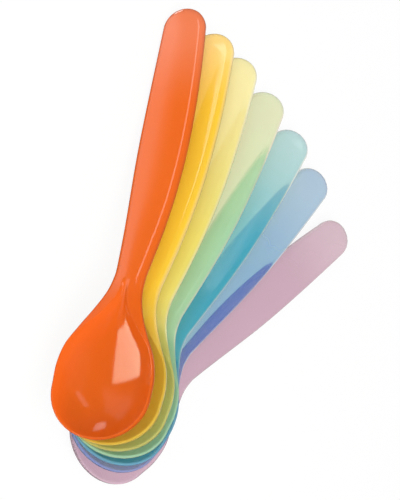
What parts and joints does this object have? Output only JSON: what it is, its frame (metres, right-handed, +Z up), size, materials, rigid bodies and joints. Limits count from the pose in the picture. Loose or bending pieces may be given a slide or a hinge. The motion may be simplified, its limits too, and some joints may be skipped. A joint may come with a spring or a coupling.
{
  "type": "set of nested baby spoons",
  "caption": "Nested set of translucent baby spoons with shallow round bowls and flat round-ended handles, fanned out on a table.",
  "frame": {"origin": "middle of the set's box at the table it lies on", "axes": "+Z up from the table; the top spoon's handle runs along -X and its bowl opens towards -Y; the long side of the set's box lies along X"},
  "size_m": [0.15, 0.1128, 0.0414],
  "materials": {
    "lavender": "translucent, smooth moulded gloss",
    "blue": "translucent, smooth moulded gloss",
    "aqua": "translucent, smooth moulded gloss",
    "green": "translucent, smooth moulded gloss",
    "yellow": "translucent, smooth moulded gloss",
    "amber": "translucent, smooth moulded gloss",
    "orange": "translucent, smooth moulded gloss"
  },
  "bodies": {
    "lavender": {"spoon_lavender": "lavender"},
    "blue": {"spoon_blue": "blue"},
    "aqua": {"spoon_aqua": "aqua"},
    "green": {"spoon_green": "green"},
    "yellow": {"spoon_yellow": "yellow"},
    "amber": {"spoon_amber": "amber"},
    "orange": {"spoon_orange": "orange"}
  },
  "joints": [
    {"name": "lift_blue", "type": "slide", "parent": "lavender", "child": "blue", "axis": [-0.1997, -0.2467, 0.9483], "range_m": [0, 0.04]},
    {"name": "lift_aqua", "type": "slide", "parent": "blue", "child": "aqua", "axis": [-0.2791, -0.3996, 0.8732], "range_m": [0, 0.04]},
    {"name": "lift_green", "type": "slide", "parent": "aqua", "child": "green", "axis": [-0.2951, -0.5298, 0.7951], "range_m": [0, 0.04]},
    {"name": "lift_yellow", "type": "slide", "parent": "green", "child": "yellow", "axis": [-0.2663, -0.6607, 0.7018], "range_m": [0, 0.04]},
    {"name": "lift_amber", "type": "slide", "parent": "yellow", "child": "amber", "axis": [-0.2019, -0.7773, 0.5958], "range_m": [0, 0.04]},
    {"name": "lift_orange", "type": "slide", "parent": "amber", "child": "orange", "axis": [-0.1442, -0.8617, 0.4865], "range_m": [0, 0.04]}
  ]
}
